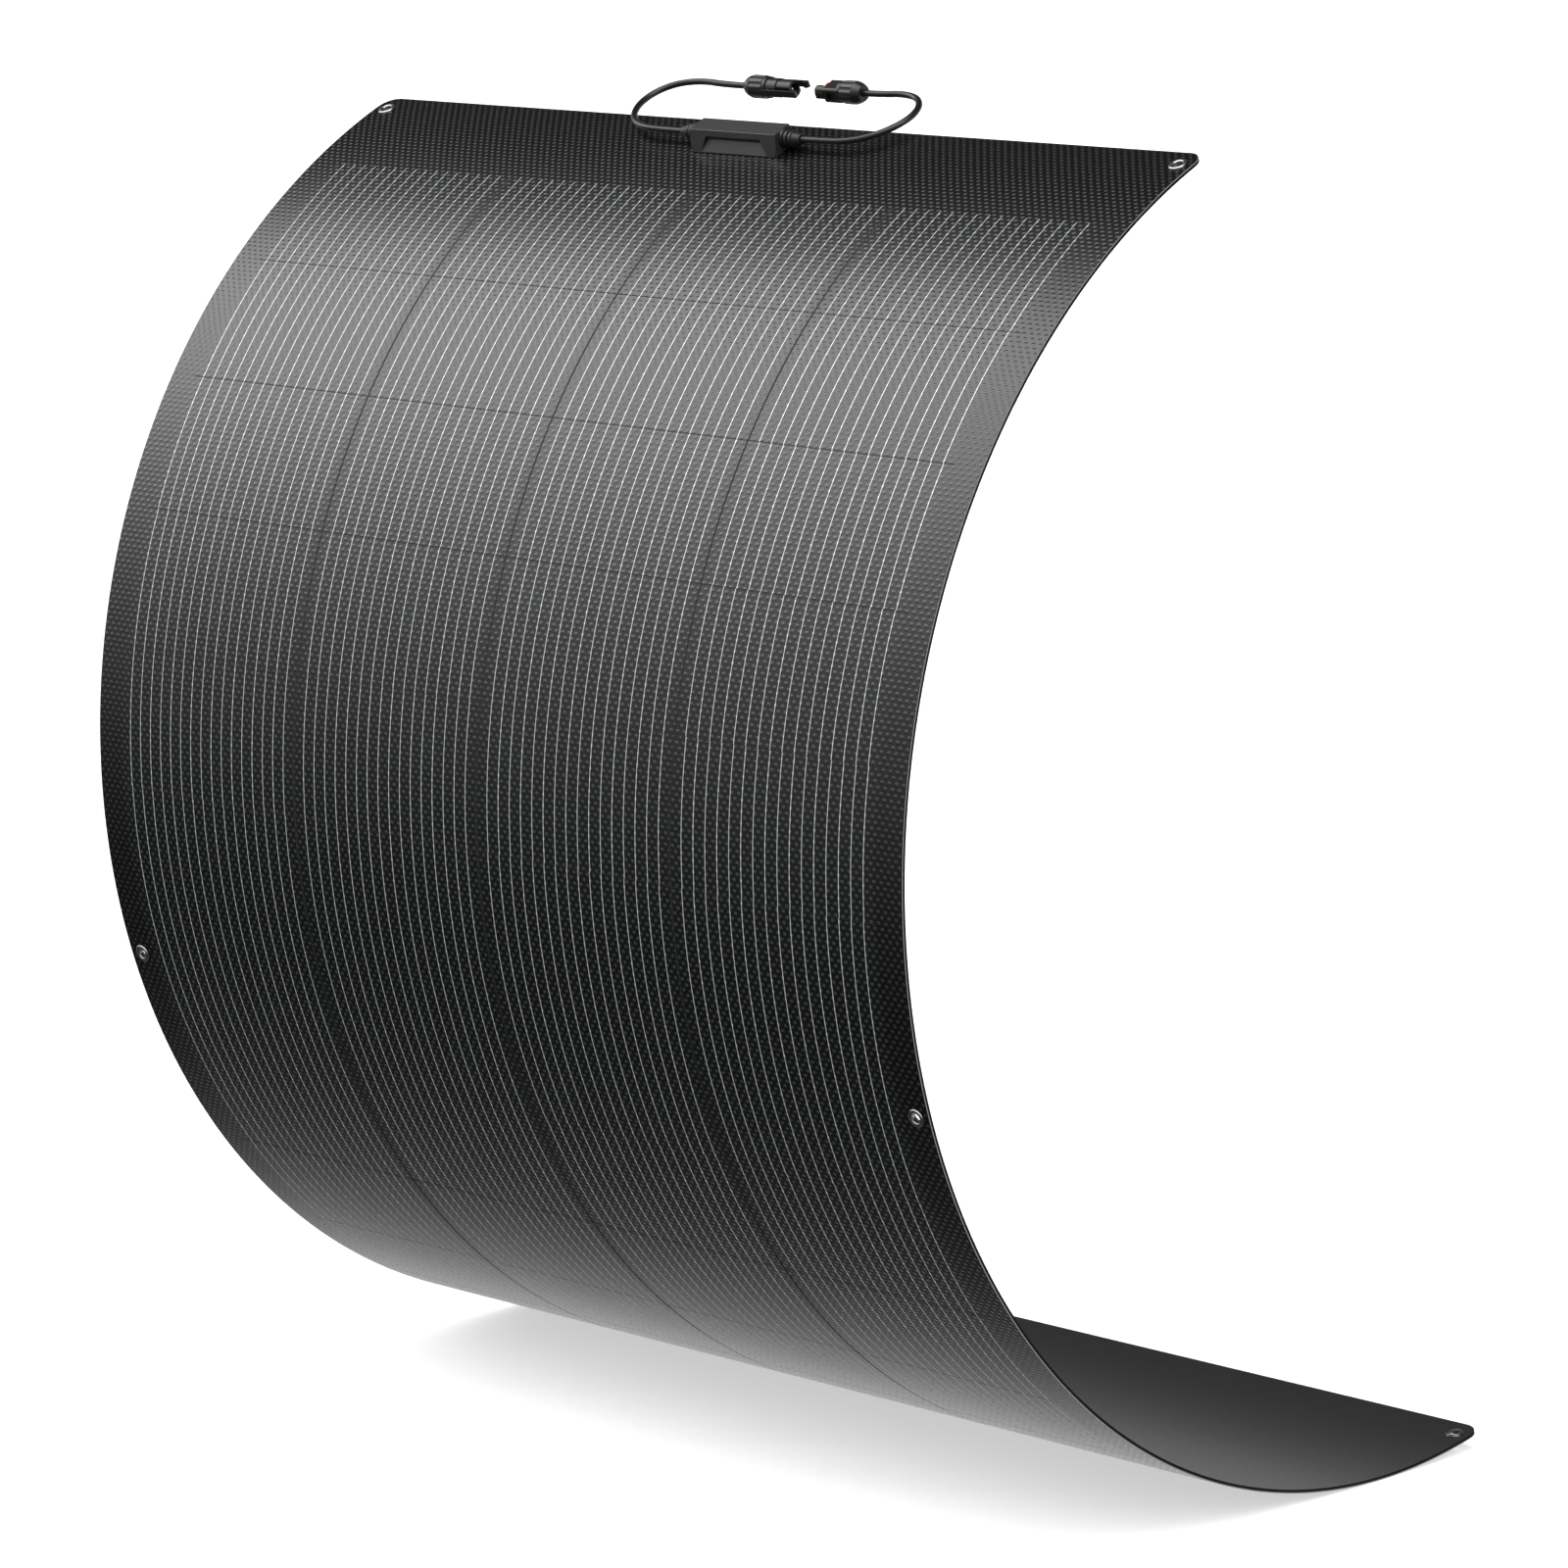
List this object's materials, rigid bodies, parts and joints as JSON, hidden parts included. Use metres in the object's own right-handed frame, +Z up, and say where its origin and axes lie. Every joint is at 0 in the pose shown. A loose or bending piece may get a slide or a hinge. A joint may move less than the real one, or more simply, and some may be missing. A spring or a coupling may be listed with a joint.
{
  "type": "flexible solar sheet",
  "caption": "Frameless flexible thin-film solar sheet sprung into an open curl, with metal eyelets, a slim junction box and two short leads ending in snap-in connectors.",
  "frame": {"origin": "middle of the back face, half way across and half way along the curl", "axes": "+X across the sheet, +Z up towards the edge with the junction box, +Y towards the open side of the curl"},
  "size_m": [0.88, 0.6674, 1.0736],
  "materials": {
    "front_film": "clear fluoropolymer film with a fine woven emboss over black",
    "encapsulant": "polyolefin encapsulant",
    "back_sheet": "satin black polymer back sheet",
    "cell": "thin-film cell on foil",
    "wire": "tinned copper wire",
    "ribbon": "tinned copper ribbon",
    "eyelet": "dark nickel plated brass",
    "adhesive": "black silicone adhesive",
    "box_plastic": "black PPO, fine mould texture",
    "terminal": "tinned copper plate",
    "diode": "moulded epoxy package",
    "potting": "silicone potting compound",
    "gland": "moulded elastomer",
    "cable_jacket": "cross-linked polyolefin jacket, satin",
    "conductor": "tinned copper strand",
    "connector_plastic": "black polyamide",
    "seal": "silicone rubber",
    "o_ring": "orange-red silicone rubber",
    "contact": "tinned copper"
  },
  "bodies": {
    "sheet": {"front_film": "front_film", "front_encapsulant": "encapsulant", "rear_encapsulant": "encapsulant", "back_sheet": "back_sheet", "top_bus_ribbons": "ribbon", "bottom_bus_ribbons": "ribbon", "eyelets": "eyelet", "eyelet_washers": "eyelet", "box_adhesive_pad": "adhesive", "junction_box_base": "box_plastic", "junction_box_cover": "box_plastic", "terminal_plates": "terminal", "bypass_diode": "diode", "potting_compound": "potting", "pin_cable_gland": "gland", "socket_cable_gland": "gland", "cable_tails": "cable_jacket", "conductor_ends": "conductor", "pin_cable": "cable_jacket", "socket_cable": "cable_jacket", "pin_connector_seal": "seal", "pin_connector_housing": "connector_plastic", "pin_contact": "contact", "socket_connector_seal": "seal", "socket_connector_housing": "connector_plastic", "socket_connector_o_ring": "o_ring", "socket_contact": "contact", "cell_column_1": "cell", "collector_wires_1": "wire", "cell_column_2": "cell", "collector_wires_2": "wire", "cell_column_3": "cell", "collector_wires_3": "wire", "cell_column_4": "cell", "collector_wires_4": "wire"},
    "pin_cage": {"pin_connector_clamp_cage": "connector_plastic"},
    "pin_nut": {"pin_connector_nut": "connector_plastic"},
    "socket_cage": {"socket_connector_clamp_cage": "connector_plastic"},
    "socket_nut": {"socket_connector_nut": "connector_plastic"},
    "upper_latch": {"pin_connector_latch_upper": "connector_plastic"},
    "lower_latch": {"pin_connector_latch_lower": "connector_plastic"}
  },
  "joints": [
    {"name": "pin_cage_slide", "type": "slide", "parent": "sheet", "child": "pin_cage", "axis": [-1, 0, 0], "range_m": [0, 0.0045]},
    {"name": "pin_nut_turn", "type": "hinge", "parent": "pin_cage", "child": "pin_nut", "pos_m": [-0.0425, 0.31258, 0.69527], "axis": [-1, 0, 0], "range_deg": [0, 1081]},
    {"name": "socket_cage_slide", "type": "slide", "parent": "sheet", "child": "socket_cage", "axis": [1, 0, 0], "range_m": [0, 0.0045]},
    {"name": "socket_nut_turn", "type": "hinge", "parent": "socket_cage", "child": "socket_nut", "pos_m": [0.0605, 0.31258, 0.69527], "axis": [1, 0, 0], "range_deg": [0, 1081]},
    {"name": "upper_latch_flex", "type": "hinge", "parent": "sheet", "child": "upper_latch", "pos_m": [-0.023, 0.3199, 0.69918], "axis": [0, 0.4706, -0.8823], "range_deg": [0, 4.5], "stiffness_Nm_per_rad": 1.5},
    {"name": "lower_latch_flex", "type": "hinge", "parent": "sheet", "child": "lower_latch", "pos_m": [-0.023, 0.30525, 0.69136], "axis": [0, -0.4706, 0.8823], "range_deg": [0, 4.5], "stiffness_Nm_per_rad": 1.5}
  ],
  "couplings": [
    {"joint": "pin_nut_turn", "follows": "pin_cage_slide", "rad_per_m": 4188.8},
    {"joint": "socket_nut_turn", "follows": "socket_cage_slide", "rad_per_m": 4188.8}
  ]
}
